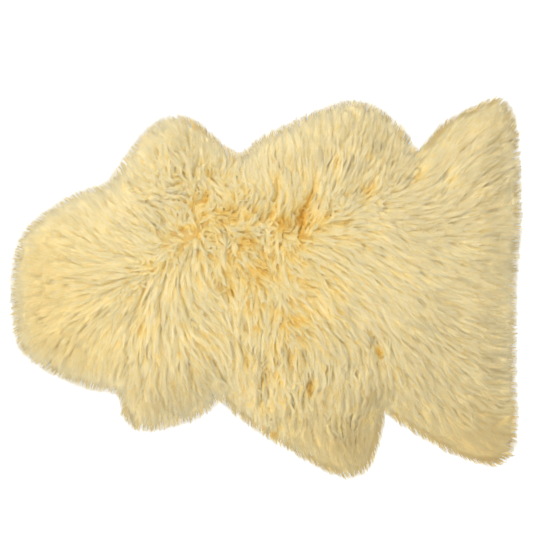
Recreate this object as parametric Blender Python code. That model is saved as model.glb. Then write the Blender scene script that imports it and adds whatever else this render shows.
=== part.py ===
"""A sheepskin rug: one whole tanned pelt that lies flat, wool side up.

The neck points to -X and the rump to +X, with three lobes down each side: foreleg, flank and hind leg.
Two sub-parts share that outline:
  hide    the tanned skin, a thin flat sheet on the floor
  fleece  the wool, a lumpy slab with tapered locks round its rim, hollowed underneath to take the hide
Metres, +Z up, origin under the middle of the rug at floor level.
"""

import math

import bmesh
import bpy
import numpy as np
from mathutils import Matrix
from mathutils.geometry import delaunay_2d_cdt

MM = 0.001

# Driving dimensions.
RUG_LENGTH = 950 * MM  # neck to rump, over the lock tips
RUG_WIDTH = 705 * MM  # flank to flank, over the lock tips
HIDE_THICKNESS = 2 * MM
HIDE_INSET = 34 * MM  # how far the wool hangs past the skin's cut edge
POCKET_CLEARANCE = 1 * MM  # round the hide's edge
FACE_GAP = 0.3 * MM  # between the hide and the wool on it
PILE_HEIGHT = 44 * MM  # mean height of the wool away from the rim
RIM_HEIGHT = 13 * MM  # where the slab's wall gives way to the rim locks
SHOULDER = 62 * MM  # width of the rounded fall from full pile to the rim

# How finely the outline is worked out.
SPAN_POINTS = 12  # of the smooth curve, from one outline point to the next
INSET_POINTS = 480
INSET_STEPS = 16
INSET_EASE = 0.3  # share of each point that its neighbours even out at every step
HIDE_POINTS = 120  # round the skin's edge

# Rim locks.
RIM_LOCKS = 240
LOCK_SHARE = 0.72  # of the pitch that a lock's root takes, the rest is the gap to the next one
LOCK_SHARE_SPREAD = 0.14
LOCK_REACH = 25 * MM  # mean length past the slab
LOCK_REACH_SPREAD = 0.30
LOCK_GROOM_SHARE = 0.5  # how far a lock turns from straight out towards the lie of the wool
LOCK_CURL = 16  # degrees, the most that a lock's tip turns aside
LOCK_SECTIONS = (  # share of reach, of root width, of root height and of the curl
    (0.48, 0.93, 0.70, 0.0),
    (1.00, 0.30, 0.20, 1.0),
)

# Tufts, the lumps in which the wool's surface is gathered.
SURFACE_STEP = 14.2 * MM  # spacing of the slab's surface points
SURFACE_MARGIN = 8.5 * MM  # from the rim to the nearest of them
TUFT_STEP = 27 * MM
TUFT_JITTER = 8 * MM
TUFT_LENGTH = 62 * MM
TUFT_WIDTH = 27 * MM
TUFT_SIZE_SPREAD = 0.2
TUFT_RISE = 0.75  # share of its length over which a tuft climbs
TUFT_FALL = 0.35  # share over which it drops at its tip
TUFT_RELIEF = 13 * MM
TUFT_RELIEF_SPREAD = 0.25
TUFT_WANDER = math.radians(10)  # how far a tuft strays from the lie of the wool
SWELL_RELIEF = 3 * MM  # of the broad rise and fall under the tufts
SWELL_LENGTH = 150 * MM
SWELL_WIDTH = 115 * MM
RIM_FADE = 25 * MM  # width inside the rim over which tufts and swells come in

# The wool's outline without its lock tips, clockwise from the neck, in mm: stretch, x, y.
OUTLINE = (
    ("neck", -474, -10),
    ("neck", -466, 68),
    ("neck", -430, 125),
    ("neck", -355, 173),
    ("neck to far foreleg", -300, 193),
    ("far foreleg", -268, 230),
    ("far foreleg", -222, 289),
    ("far foreleg", -180, 316),
    ("far foreleg", -138, 309),
    ("far foreleg", -92, 274),
    ("notch", -50, 247),
    ("far flank", -10, 277),
    ("far flank", 86, 323),
    ("far flank", 160, 346),
    ("far flank", 217, 325),
    ("notch", 281, 251),
    ("far hind leg", 330, 303),
    ("far hind leg", 400, 342),
    ("far hind leg", 438, 347),
    ("far hind leg", 462, 310),
    ("rump", 473, 230),
    ("rump", 470, 110),
    ("rump", 463, 0),
    ("rump", 465, -150),
    ("rump", 463, -270),
    ("near hind leg", 450, -318),
    ("near hind leg", 412, -329),
    ("near hind leg", 345, -309),
    ("near hind leg", 265, -261),
    ("notch", 222, -233),
    ("near flank", 206, -297),
    ("near flank", 179, -345),
    ("near flank", 140, -351),
    ("near flank", 60, -309),
    ("near flank", -20, -262),
    ("notch", -80, -212),
    ("near foreleg", -140, -246),
    ("near foreleg", -225, -268),
    ("near foreleg", -263, -246),
    ("near foreleg to neck", -277, -203),
    ("neck", -340, -184),
    ("neck", -425, -144),
    ("neck", -463, -98),
)
TIP_PAST_OUTLINE = -1 * MM  # from that outline to the mean lock tip

# Which way the wool lies, in mm and degrees from +X towards +Y: place, x, y, heading.
GROOM = (
    ("neck", -430, 20, 180),
    ("neck", -400, 110, 160),
    ("neck", -390, -50, 205),
    ("neck", -400, -120, 228),
    ("nape", -300, 20, 188),
    ("nape", -300, 140, 130),
    ("nape", -310, -130, 245),
    ("far foreleg", -230, 240, 138),
    ("far foreleg", -140, 275, 107),
    ("withers", -190, 130, 165),
    ("withers", -90, 110, 90),
    ("far flank", -50, 215, 97),
    ("far flank", 60, 260, 94),
    ("far flank", 150, 290, 85),
    ("far flank", 160, 160, 62),
    ("far flank", 225, 260, 62),
    ("far hind leg", 285, 215, 33),
    ("far hind leg", 345, 270, 55),
    ("far hind leg", 400, 300, 42),
    ("far hind leg", 445, 230, 15),
    ("rump", 300, 125, 5),
    ("rump", 430, 110, 5),
    ("rump", 430, -20, -12),
    ("rump", 300, 0, -22),
    ("back", 60, 40, -52),
    ("back", 170, 0, -42),
    ("near hind leg", 410, -130, -25),
    ("near hind leg", 310, -125, -48),
    ("near hind leg", 400, -270, -20),
    ("near hind leg", 325, -240, -48),
    ("near flank", 240, -190, -74),
    ("near flank", 120, -130, -72),
    ("near flank", 150, -290, -82),
    ("near flank", 30, -230, -88),
    ("near flank", -50, -150, -72),
    ("near foreleg", -110, -170, -62),
    ("near foreleg", -170, -220, -88),
    ("near foreleg", -240, -215, -100),
    ("shoulder", -150, -40, -90),
    ("shoulder", -245, -60, -103),
)
GROOM_BLEND = 62 * MM  # distance over which one heading gives way to the next

# Partings, where the wool falls apart, in mm and degrees: place, x, y, length, heading, width, depth.
PARTINGS = (
    ("withers", 74, 128, 95, 70, 40, 15),
    ("withers", -125, 145, 80, 40, 40, 9),
    ("back", 8, 30, 80, 120, 36, 8),
    ("back", -65, -8, 70, 80, 34, 8),
    ("far flank", 190, 178, 60, 60, 34, 9),
    ("far hind leg", 285, 205, 80, 50, 36, 9),
    ("near hind leg", 210, -118, 70, 100, 40, 11),
    ("near flank", 85, -190, 70, 100, 36, 9),
    ("near flank", 2, -160, 70, 95, 34, 8),
    ("shoulder", -230, -60, 70, 80, 34, 8),
)


def smooth_loop(points):
    """A closed Catmull-Rom curve through the points, as a dense array."""
    points = np.array(points, float)
    before, after, beyond = (np.roll(points, n, axis=0) for n in (1, -1, -2))
    steps = np.arange(SPAN_POINTS) / SPAN_POINTS
    spans = [
        points + 0.5 * (
            (after - before) * t
            + (2 * before - 5 * points + 4 * after - beyond) * t**2
            + (3 * points - before - 3 * after + beyond) * t**3
        )
        for t in steps
    ]
    return np.stack(spans, axis=1).reshape(-1, 2)


def along_loop(loop, shares):
    """Points of a closed loop at the given shares of its length."""
    closed = np.vstack([loop, loop[:1]])
    run = np.concatenate([[0], np.cumsum(np.linalg.norm(np.diff(closed, axis=0), axis=1))])
    at = np.array(shares) * run[-1]
    return np.column_stack([np.interp(at, run, closed[:, k]) for k in (0, 1)])


def outward(loop, reach=1):
    """Unit normals that point out of a clockwise loop, each taken across reach points to either side."""
    chord = np.roll(loop, -reach, axis=0) - np.roll(loop, reach, axis=0)
    normal = np.column_stack([-chord[:, 1], chord[:, 0]])
    return normal / np.linalg.norm(normal, axis=1, keepdims=True)


def inset_loop(loop, distance, shares):
    """The loop moved inwards in small steps and evened out after each, so that it never crosses itself."""
    even = np.arange(INSET_POINTS) / INSET_POINTS
    loop = along_loop(loop, even)
    for _ in range(INSET_STEPS):
        loop = loop - outward(loop) * distance / INSET_STEPS
        between = (np.roll(loop, 1, axis=0) + np.roll(loop, -1, axis=0)) / 2
        loop = (1 - INSET_EASE) * loop + INSET_EASE * between
        loop = along_loop(loop, even)
    return along_loop(loop, shares)


def groom(x, y):
    """Unit vectors of the wool's lie at the places x, y."""
    table = np.array([row[1:] for row in GROOM], float)
    apart = (x[:, None] - table[:, 0] * MM) ** 2 + (y[:, None] - table[:, 1] * MM) ** 2
    weight = np.exp(-apart / (2 * GROOM_BLEND**2)) + 1e-9
    heading = np.radians(table[:, 2])
    lie = np.column_stack([weight @ np.cos(heading), weight @ np.sin(heading)])
    return lie / np.linalg.norm(lie, axis=1, keepdims=True)


def lattice(step, margin, loop, jitter, rng):
    """Points of a staggered lattice that lie at least margin inside the loop."""
    rows = np.arange(-RUG_WIDTH / 2, RUG_WIDTH / 2, step * math.sqrt(0.75))
    columns = np.arange(-RUG_LENGTH / 2, RUG_LENGTH / 2, step)
    x, y = np.meshgrid(columns, rows)
    x = x + step / 2 * (np.arange(len(rows)) % 2)[:, None]
    spots = np.column_stack([x.ravel(), y.ravel()])
    spots = spots + rng.uniform(-jitter, jitter, spots.shape)
    return spots[inside(spots, loop) & (rim_distance(spots, loop) > margin)]


def inside(spots, loop):
    """Whether each spot is inside the loop, by counting the edges to its right."""
    start, end = loop, np.roll(loop, -1, axis=0)
    x, y = spots[:, :1], spots[:, 1:]
    spans = (start[:, 1] > y) != (end[:, 1] > y)
    rise = np.where(end[:, 1] == start[:, 1], 1, end[:, 1] - start[:, 1])
    crossing = start[:, 0] + (y - start[:, 1]) * (end[:, 0] - start[:, 0]) / rise
    return (spans & (crossing > x)).sum(axis=1) % 2 == 1


def rim_distance(spots, loop):
    """How far each spot is from the loop's nearest point."""
    return np.sqrt(((spots[:, None] - loop[None]) ** 2).sum(axis=2)).min(axis=1)


def tuft_lift(spots, roots, rng):
    """How high the tufts stand at each spot, 0 to 1: every tuft rises along its lie and drops at its tip."""
    lie = turned(groom(roots[:, 0], roots[:, 1]), rng.normal(0, TUFT_WANDER, len(roots)))
    size = 1 + TUFT_SIZE_SPREAD * rng.uniform(-1, 1, len(roots))
    away = spots[:, None] - roots[None]
    run = (away * lie).sum(axis=2) / (TUFT_LENGTH * size)
    side = (away[..., 0] * lie[:, 1] - away[..., 1] * lie[:, 0]) / (TUFT_WIDTH * size / 2)
    climb = np.clip(run / TUFT_RISE, 0, 1) * np.clip((1 - run) / TUFT_FALL, 0, 1)
    crown = np.clip(1 - side**2, 0, 1)
    return (climb * crown * (1 - TUFT_RELIEF_SPREAD * rng.uniform(0, 1, len(roots)))).max(axis=1)


def parting_depth(spots):
    """The troughs where the wool parts, at each spot."""
    depth = np.zeros(len(spots))
    for _, x, y, length, heading, width, deep in PARTINGS:
        along = np.array([math.cos(math.radians(heading)), math.sin(math.radians(heading))])
        away = spots - np.array([x, y]) * MM
        run = away @ along / (length * MM / 2)
        side = (away[:, 0] * along[1] - away[:, 1] * along[0]) / (width * MM / 2)
        depth = np.maximum(depth, deep * MM * np.exp(-(side**2) - run**4))
    return depth


def wool_height(spots, loop, rng):
    """The height of the wool's surface: a rounded shoulder up from the rim, swells, tufts and partings."""
    rim = rim_distance(spots, loop)
    dome = np.sin(np.clip(rim / SHOULDER, 0, 1) * math.pi / 2)
    roots = lattice(TUFT_STEP, 0, loop, TUFT_JITTER, rng)
    tufts = TUFT_RELIEF * (tuft_lift(spots, roots, rng) - 0.5)
    along = np.sin(2 * math.pi * spots[:, 0] / SWELL_LENGTH)
    swell = SWELL_RELIEF * along * np.cos(2 * math.pi * spots[:, 1] / SWELL_WIDTH)
    fade = np.clip(rim / RIM_FADE, 0, 1)
    body = RIM_HEIGHT + (PILE_HEIGHT - RIM_HEIGHT) * dome
    return body + fade * (tufts + swell - parting_depth(spots))


def flat_faces(bm, loops, z, up):
    """Fills the area inside the first loop, and outside a second, with triangles. Returns the loops' verts."""
    spots = np.vstack(loops)
    edges = []
    first = 0
    for loop in loops:
        ring = range(first, first + len(loop))
        edges += [(i, first + (i - first + 1) % len(loop)) for i in ring]
        first += len(loop)
    found, _, faces, *_ = delaunay_2d_cdt([tuple(s) for s in spots], edges, [], 1, 1e-7)
    verts = [bm.verts.new((s.x, s.y, z)) for s in found]
    hole = loops[1] if len(loops) > 1 else None
    for face in faces:
        middle = np.mean([found[i] for i in face], axis=0)[None]
        if hole is None or not inside(middle, hole)[0]:
            bm.faces.new([verts[i] for i in (face if up else reversed(face))])
    rings = []
    for loop in loops:
        rings.append(verts[:len(loop)])
        verts = verts[len(loop):]
    return rings


def join_rings(bm, upper, lower):
    """The wall between two rings of as many verts, facing out of a clockwise pair. Returns its faces."""
    count = len(upper)
    return [
        bm.faces.new((upper[i], upper[(i + 1) % count], lower[(i + 1) % count], lower[i]))
        for i in range(count)
    ]


def turned(vectors, angles):
    """The x, y vectors turned by the angles, in radians."""
    x, y = vectors[..., 0], vectors[..., 1]
    across, up = np.cos(angles), np.sin(angles)
    return np.stack([x * across - y * up, x * up + y * across], axis=-1)


def grow_lock(bm, face, lie, reach, curl):
    """Draws one face of the rim wall out into a tapered lock that lies on the floor."""
    root = [v.co.copy() for v in face.verts]
    middle = np.mean(root, axis=0)[:2]
    tip = middle
    last = 0
    for run, width, rise, bend in LOCK_SECTIONS:
        tip = tip + turned(lie, curl * bend) * reach * (run - last)
        last = run
        face = bmesh.ops.extrude_discrete_faces(bm, faces=[face])["faces"][0]
        for vert, start in zip(face.verts, root):
            vert.co.x, vert.co.y = tip + (np.array(start[:2]) - middle) * width
            vert.co.z = start.z * rise


def rim_shares(rng):
    """Shares of the rim's length at which each lock's root starts and ends."""
    starts = np.arange(RIM_LOCKS)
    widths = LOCK_SHARE + LOCK_SHARE_SPREAD * rng.uniform(-1, 1, RIM_LOCKS)
    return np.column_stack([starts, starts + widths]).ravel() / RIM_LOCKS


def hide_shares():
    """Even shares of the length of the skin's edge."""
    return np.arange(HIDE_POINTS) / HIDE_POINTS


def material(name, colour, roughness):
    made = bpy.data.materials.new(name)
    made.use_nodes = True
    shader = made.node_tree.nodes["Principled BSDF"]
    shader.inputs["Base Color"].default_value = (*colour, 1)
    shader.inputs["Roughness"].default_value = roughness
    shader.inputs["Metallic"].default_value = 0
    return made


def add_object(name, bm, finish):
    bmesh.ops.recalc_face_normals(bm, faces=bm.faces)
    mesh = bpy.data.meshes.new(name)
    bm.to_mesh(mesh)
    bm.free()
    mesh.materials.append(finish)
    made = bpy.data.objects.new(name, mesh)
    bpy.context.scene.collection.objects.link(made)
    return made


def fit_to_size(fleece, hide):
    """Fits the drawn pelt to its overall length and width, with its middle over the origin."""
    spots = np.array([v.co for v in fleece.data.vertices])
    low, high = spots.min(axis=0), spots.max(axis=0)
    middle = (low + high) / 2
    fit = Matrix.Diagonal((RUG_LENGTH / (high - low)[0], RUG_WIDTH / (high - low)[1], 1, 1))
    fit = fit @ Matrix.Translation((-middle[0], -middle[1], 0))
    for part in (fleece, hide):
        part.data.transform(fit)


def make_hide(outline):
    """The skin: its cut outline, extruded to its thickness."""
    bm = bmesh.new()
    flat_faces(bm, [inset_loop(outline, HIDE_INSET, hide_shares())], 0, up=True)
    grown = bmesh.ops.extrude_face_region(bm, geom=bm.faces[:])
    lifted = [g for g in grown["geom"] if isinstance(g, bmesh.types.BMVert)]
    bmesh.ops.translate(bm, verts=lifted, vec=(0, 0, HIDE_THICKNESS))
    return add_object("hide", bm, material("tanned hide", (0.62, 0.42, 0.22), 0.75))


def make_fleece(outline, rng):
    """The wool: surface, rim wall, locks and the hollow for the hide."""
    rim = inset_loop(outline, LOCK_REACH - TIP_PAST_OUTLINE, rim_shares(rng))
    inner = lattice(SURFACE_STEP, SURFACE_MARGIN, rim, 0, rng)
    spots = np.vstack([rim, inner])
    ring = [(i, (i + 1) % len(rim)) for i in range(len(rim))]
    found, _, faces, *_ = delaunay_2d_cdt([tuple(s) for s in spots], ring, [], 1, 1e-7)
    heights = wool_height(np.array([tuple(s) for s in found]), rim, rng)
    bm = bmesh.new()
    surface = [bm.verts.new((s.x, s.y, h)) for s, h in zip(found, heights)]
    for face in faces:
        bm.faces.new([surface[i] for i in face])
    pocket = inset_loop(outline, HIDE_INSET - POCKET_CLEARANCE, hide_shares())
    foot, mouth = flat_faces(bm, [rim, pocket], 0, up=False)
    (roof,) = flat_faces(bm, [pocket], HIDE_THICKNESS + FACE_GAP, up=False)
    wall = join_rings(bm, surface[:len(rim)], foot)
    join_rings(bm, mouth, roof)
    lies = groom(rim[:, 0], rim[:, 1]) * LOCK_GROOM_SHARE + outward(rim, 6) * (1 - LOCK_GROOM_SHARE)
    for face, lie in zip(wall[::2], lies[::2]):
        reach = LOCK_REACH * (1 + LOCK_REACH_SPREAD * rng.uniform(-1, 1))
        curl = math.radians(LOCK_CURL) * rng.uniform(-1, 1)
        grow_lock(bm, face, lie / np.linalg.norm(lie), reach, curl)
    return add_object("fleece", bm, material("golden wool", (0.82, 0.62, 0.30), 0.9))


def main():
    for left in list(bpy.data.objects):
        bpy.data.objects.remove(left)
    outline = smooth_loop([row[1:] for row in OUTLINE]) * MM
    rng = np.random.default_rng(7)
    fit_to_size(make_fleece(outline, rng), make_hide(outline))


main()
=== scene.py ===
"""A golden sheepskin rug, dressed in its wool.

The pelt lies flat, neck to -X and rump to +X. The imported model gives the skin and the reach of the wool.
This script keeps the skin, and puts underwool, combed locks, a fringed rim and stray fibres where the
packed fleece is. It is laid out as an add-on, and runs as a script.
"""

import math

import bpy
import numpy as np
from bpy.props import FloatProperty, FloatVectorProperty, IntProperty, PointerProperty
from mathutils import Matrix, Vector
from mathutils.bvhtree import BVHTree


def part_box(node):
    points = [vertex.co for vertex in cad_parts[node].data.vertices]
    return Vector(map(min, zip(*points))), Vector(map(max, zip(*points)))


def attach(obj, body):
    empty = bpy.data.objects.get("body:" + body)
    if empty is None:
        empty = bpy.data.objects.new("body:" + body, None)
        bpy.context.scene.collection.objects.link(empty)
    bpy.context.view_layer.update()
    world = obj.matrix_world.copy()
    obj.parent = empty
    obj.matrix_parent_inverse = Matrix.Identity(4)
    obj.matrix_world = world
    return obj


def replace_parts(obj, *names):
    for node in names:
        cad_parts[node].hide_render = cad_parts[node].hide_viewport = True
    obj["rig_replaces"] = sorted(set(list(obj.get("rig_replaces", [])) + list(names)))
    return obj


bl_info = {
    "name": "Sheepskin Rug",
    "version": (1, 0, 0),
    "blender": (4, 5, 0),
    "location": "3D View > Sidebar > Sheepskin",
    "description": "Dresses a packed sheepskin in underwool, locks, fringe and stray fibres",
    "category": "Object",
}

MM = 0.001
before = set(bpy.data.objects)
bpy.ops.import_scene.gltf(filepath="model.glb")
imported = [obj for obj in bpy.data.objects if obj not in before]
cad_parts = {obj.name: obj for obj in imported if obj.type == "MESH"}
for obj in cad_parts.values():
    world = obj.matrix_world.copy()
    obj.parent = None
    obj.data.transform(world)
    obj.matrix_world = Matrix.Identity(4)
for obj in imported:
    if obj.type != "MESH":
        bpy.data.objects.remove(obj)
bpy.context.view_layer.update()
FLEECE_LOW, FLEECE_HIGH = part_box("fleece")
HIDE_LOW, HIDE_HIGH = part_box("hide")
RUG_LENGTH = FLEECE_HIGH.x - FLEECE_LOW.x
RUG_WIDTH = FLEECE_HIGH.y - FLEECE_LOW.y

# Each table gives places on the pelt and the rows of numbers for each, in mm and degrees from +X
# towards +Y.

# The wool's outline, clockwise from the neck: x, y.
OUTLINE = (
    ("neck", (-474, -10), (-467, 69), (-430, 125), (-355, 173)),
    ("neck to far foreleg", (-300, 193)),
    ("far foreleg", (-270, 232), (-225, 291), (-180, 316), (-138, 309), (-93, 272)),
    ("notch", (-50, 247)),
    ("far flank", (-10, 277), (86, 323), (160, 346), (217, 325), (257, 289)),
    ("notch", (281, 253)),
    ("far hind leg", (330, 302), (401, 339), (440, 348), (462, 310)),
    ("rump", (470, 230), (472, 110), (464, 0), (463, -150), (464, -270)),
    ("near hind leg", (450, -318), (413, -328), (346, -307), (265, -261), (237, -243)),
    ("notch", (221, -232)),
    ("near flank", (204, -296), (181, -345), (140, -351), (58, -310), (-21, -264)),
    ("notch", (-72, -220), (-81, -207), (-91, -216)),
    ("near foreleg", (-139, -248), (-225, -268), (-262, -246)),
    ("near foreleg to neck", (-276, -201)),
    ("neck", (-341, -186), (-425, -146), (-465, -100)),
)

# Which way the wool lies: x, y, heading.
GROOM = (
    ("neck", (-440, 20, 180), (-430, 80, 168), (-400, 115, 148), (-360, 60, 170), (-380, -10, 186),
     (-430, -50, 200), (-370, -60, 220), (-400, -110, 228), (-350, -130, 240)),
    ("nape", (-290, 30, 180), (-300, 85, 150), (-310, 112, 134), (-300, 140, 130), (-290, -20, 215),
     (-290, -90, 246), (-290, -160, 250)),
    ("far foreleg", (-250, 190, 130), (-225, 250, 132), (-180, 290, 122), (-180, 240, 136), (-135, 290, 106),
     (-195, 195, 152)),
    ("shoulder", (-235, 115, 152), (-178, 160, 154), (-178, 114, 130), (-237, 55, 150)),
    ("withers", (-110, 235, 88), (-90, 165, 78)),
    ("back", (-55, 165, 84), (-70, 118, -10), (-25, 122, 8), (25, 118, 2), (48, 145, 94), (0, 85, -35),
     (45, 88, -45)),
    ("withers", (-50, 50, 256), (-113, 49, 286), (-178, 45, 246)),
    ("far flank", (-60, 200, 98), (0, 240, 102), (0, 150, 100), (50, 270, 95), (50, 190, 96)),
    ("back", (60, 124, 102)),
    ("far flank", (90, 250, 90), (92, 170, 74), (120, 290, 87), (125, 190, 68), (148, 245, 86), (170, 290, 84),
     (170, 190, 66), (210, 300, 70), (220, 240, 64)),
    ("far hind leg", (275, 215, 38), (320, 250, 58), (345, 185, 50), (360, 290, 52), (385, 240, 46),
     (408, 182, 36), (425, 310, 48), (440, 240, 20)),
    ("back", (148, 118, 6)),
    ("rump", (205, 125, -12), (300, 130, 3), (410, 140, 12), (445, 90, 0), (205, 60, -38), (285, 55, -26),
     (400, 20, -12), (445, -60, -8)),
    ("back", (30, 60, -60), (100, 90, -18), (148, 50, -28), (100, 30, -42), (180, 0, -40), (180, -50, -52)),
    ("rump", (270, -10, -28), (268, -75, -49), (350, -50, -18)),
    ("near hind leg", (300, -95, -46), (380, -100, -24), (440, -150, -10), (310, -160, -52), (390, -190, -26),
     (440, -250, -12), (330, -240, -50), (400, -290, -32), (275, -210, -66)),
    ("near flank", (222, -140, -78), (130, -90, -52), (83, -80, -46), (130, -150, -86), (150, -215, -96),
     (190, -230, -88), (180, -300, -72), (120, -290, -64), (83, -276, -70), (60, -140, -84), (60, -240, -90),
     (0, -100, -90), (10, -215, -96), (-47, -80, -74), (-45, -155, -81)),
    ("near foreleg", (-110, -85, -46), (-100, -170, -62), (-165, -146, -77), (-165, -215, -90), (-205, -200, -92),
     (-245, -220, -100)),
    ("shoulder", (-113, -16, -57), (-178, -16, -84), (-240, -22, -116), (-240, -85, -95), (-180, -95, -88)),
)

# Where the wool is shorter, curlier or more ruffled: x, y, reach in x and in y, share of the length, ruffle.
RUFFLES = (
    ("withers", (-110, 155, 75, 75, 0.58, 0.75), (-190, 200, 55, 55, 0.75, 0.40)),
    ("back", (-20, 105, 75, 35, 0.60, 0.70), (-15, 60, 60, 45, 0.75, 0.42), (-60, -10, 60, 55, 0.85, 0.30),
     (50, 0, 60, 50, 0.90, 0.30)),
    ("neck", (-390, 10, 80, 130, 0.80, 0.05)),
)

# Partings, where the wool falls apart and its amber depth shows, the roots' own colour deepened as painted shade:
# x, y, length, width, heading, depth.
PARTINGS = (
    ("back", (66, 120, 60, 12, 86, 1.4), (80, 165, 44, 9, 66, 1.0), (74, 130, 80, 30, 80, 0.35),
     (30, 120, 30, 22, 120, 0.8), (12, 136, 26, 12, 60, 0.7), (20, 184, 34, 8, 84, 0.6),
     (-5, 170, 30, 9, 110, 0.6)),
    ("withers", (-110, 165, 34, 16, 70, 0.75), (-135, 155, 30, 14, 60, 0.65), (-150, 110, 34, 14, 20, 0.65),
     (-60, 130, 70, 40, 20, 0.45), (-30, 84, 40, 18, 0, 0.75), (-100, 210, 26, 12, 80, 0.55),
     (-62, 232, 26, 12, 80, 0.6)),
    ("back", (-64, -6, 40, 14, 85, 0.8), (-10, 30, 45, 30, 60, 0.6), (62, -58, 60, 20, 20, 0.7),
     (10, 20, 40, 18, 60, 0.55), (104, 120, 30, 30, 60, 0.4)),
    ("far flank", (190, 178, 46, 14, 60, 0.6), (128, 232, 40, 10, 88, 0.45), (150, 120, 40, 16, 70, 0.4)),
    ("far hind leg", (285, 210, 50, 16, 50, 0.5), (340, 200, 34, 14, 50, 0.5)),
    ("near hind leg", (208, -118, 26, 12, 105, 1.2), (216, -180, 70, 9, 98, 0.6)),
    ("near flank", (82, -188, 34, 18, 90, 0.85), (62, -190, 22, 12, 100, 0.6), (0, -160, 44, 11, 80, 0.55),
     (15, -272, 50, 16, 60, 0.6)),
    ("shoulder", (-232, -62, 40, 9, 105, 0.6), (-205, 40, 60, 24, 160, 0.35)),
    ("near hind leg", (448, -244, 34, 12, 30, 0.5)),
    ("far hind leg", (448, 318, 30, 12, 50, 0.4)),
)

# The wool's character: x, y, tint, shag, paling. The tint runs from 0, amber, over gold and cream to 1, khaki.
# Shag is how deep and loose the locks are, and paling how far the fibres pale towards their tips.
CHARACTER = (
    ("neck", (-420, 40, 0.76, 0.10, 0.42), (-380, -80, 0.74, 0.14, 0.48)),
    ("nape", (-300, 100, 0.58, 0.50, 1.00), (-290, 40, 0.60, 0.48, 0.75), (-300, -90, 0.60, 0.60, 0.70)),
    ("shoulder", (-220, -20, 0.50, 1.05, 1.00), (-230, 180, 0.56, 1.60, 1.00)),
    ("far foreleg", (-170, 270, 0.60, 1.60, 1.00)),
    ("withers", (-100, 150, 0.29, 1.45, 1.00)),
    ("back", (-10, 60, 0.26, 1.12, 1.00), (60, 60, 0.30, 1.15, 1.00), (40, -40, 0.35, 1.30, 1.00)),
    ("far flank", (20, 230, 0.58, 1.35, 1.00), (150, 260, 0.60, 1.30, 1.00)),
    ("rump", (200, 60, 0.62, 1.00, 1.00), (380, 80, 0.74, 0.65, 1.00)),
    ("far hind leg", (380, 220, 0.72, 0.80, 1.00)),
    # The rim rows of the near hind leg and near flank, khaki with little paling, darken that rim as painted shade.
    ("near hind leg", (380, -180, 0.74, 1.40, 1.00), (420, -300, 1.00, 1.40, 0.35)),
    ("near flank", (140, -200, 0.58, 2.00, 1.00), (0, -120, 0.34, 2.30, 1.00), (130, -310, 0.96, 2.00, 0.40)),
    ("near foreleg", (-200, -255, 0.74, 1.60, 0.80), (-150, -180, 0.56, 1.90, 1.00)),
    ("shoulder", (-150, -80, 0.48, 1.45, 1.00)),
)

# How the maps are made.
SPAN_POINTS = 24  # of the smooth curve, from one outline point to the next
GROOM_BLEND, CHARACTER_BLEND = 27 * MM, 60 * MM  # over which one spot's wool gives way to the next one's
MAP_STEP, MAP_MARGIN = 3 * MM, 60 * MM  # spacing of the maps' grid, and how far it goes past the fleece
SKY = 0.1  # height over the fleece at which the rays that find its top start
NOISE_CELLS, NOISE_SHIFT = 64, (17.3, 9.7)  # lengths after which the smooth noise repeats, and its shift
COMB_REACH = 18 * MM  # how far a ridge of combed wool runs each way
RIDGE_LIMIT = 2.2  # highest ridge and deepest furrow, in usual ones
TANGLE_TURN = 1.9  # how far ruffled wool turns aside, in radians
RELIEF_FADE = 30 * MM  # from the rim inwards, the width over which the combed relief sets in
PALE_RIM, PALEST = 45 * MM, 1.1  # width of the paler rim round the neck, and its paling
PARTING_PAINTED_SHADE = 0.55  # share of its paling that wool loses in a parting, which darkens it there as painted shade
TOP_BLUR, EVEN_BLUR, COMB_BLUR = 3, 14, 10  # rounds of evening out: the fleece's top, the shaded top, the comb
RIM_STEEP, STEEP_FADE = 0.4, 40 * MM  # share of the slope that shades at the rim, and where all of it does

# Seeds of what is drawn at random.
COMB_SEED, LOCK_SEED, RIM_SEED, WISP_SEED, STRAY_SEED = 7, 31, 37, 41, 51

# Smooth noise: the length over which it changes, and its seed.
WANDER, FINE_WANDER, TANGLE = (42 * MM, 3), (21 * MM, 4), (30 * MM, 5)
WAVE_START = (35 * MM, 11)
FELT_LUMPS, FELT_SWELLS = (9 * MM, 21), (14 * MM, 22)
BLOTCHES, SPECKS = (28 * MM, 61), (12 * MM, 62)

# Locks and strands, from root to tip.
LOCK_RUN = np.array((0.0, 0.18, 0.42, 0.70, 1.0))  # share of the reach at each point
LOCK_DEPTH = np.array((5.2, 1.8, 0.2, -0.2, 0.8)) * MM  # under the wool's surface
LOCK_SPREAD = np.array((0.85, 1.0, 0.92, 0.66, 0.20))  # share of the lock's half width
CORE_WIDTH = np.array((0.85, 1.0, 0.95, 0.68, 0.0))  # share of a core's width
FIBRE_WIDTH = np.array((0.80, 1.0, 1.0, 0.80, 0.0))  # share of a strand's width
FINE_RUN = np.array((0.0, 0.25, 0.5, 0.75, 1.0))  # the same, for wisps and single fibres
FINE_WIDTH = np.array((0.9, 1.0, 0.85, 0.6, 0.0))
WISP_DEPTH = np.array((6, 2, 0.5, 0, 0)) * MM  # under the wool's surface
STRAY_HEIGHT = np.array((-4, 0.5, 1, 1, 0.5)) * MM  # over it
CORE_BAND, STRAND_BAND = 0.06, 0.02  # how much of the tone map's width a core and a strand cover
SIDE_DROP, RIDGE_RISE = 0.12, 0.42  # how far a strand's sides lie under its path and its ridge over it
SIDE_TILT = 0.45  # how far the normals at its sides lean outwards
SOFTNESS = 0.8  # how far strand normals lean to those of the wool's surface
LEAST_HEIGHT = 0.1 * MM  # nothing of a strand lies lower
LEAST_PATH = 1.2 * MM  # nor does a lock's path lie lower than this
FULL_WOOL = 30 * MM  # where the wool is less high, locks lie less deep in it
ACROSS = (0.0, 1.0, 0.5, 0.0)  # across the map: left side, right side, ridge, left side

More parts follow.
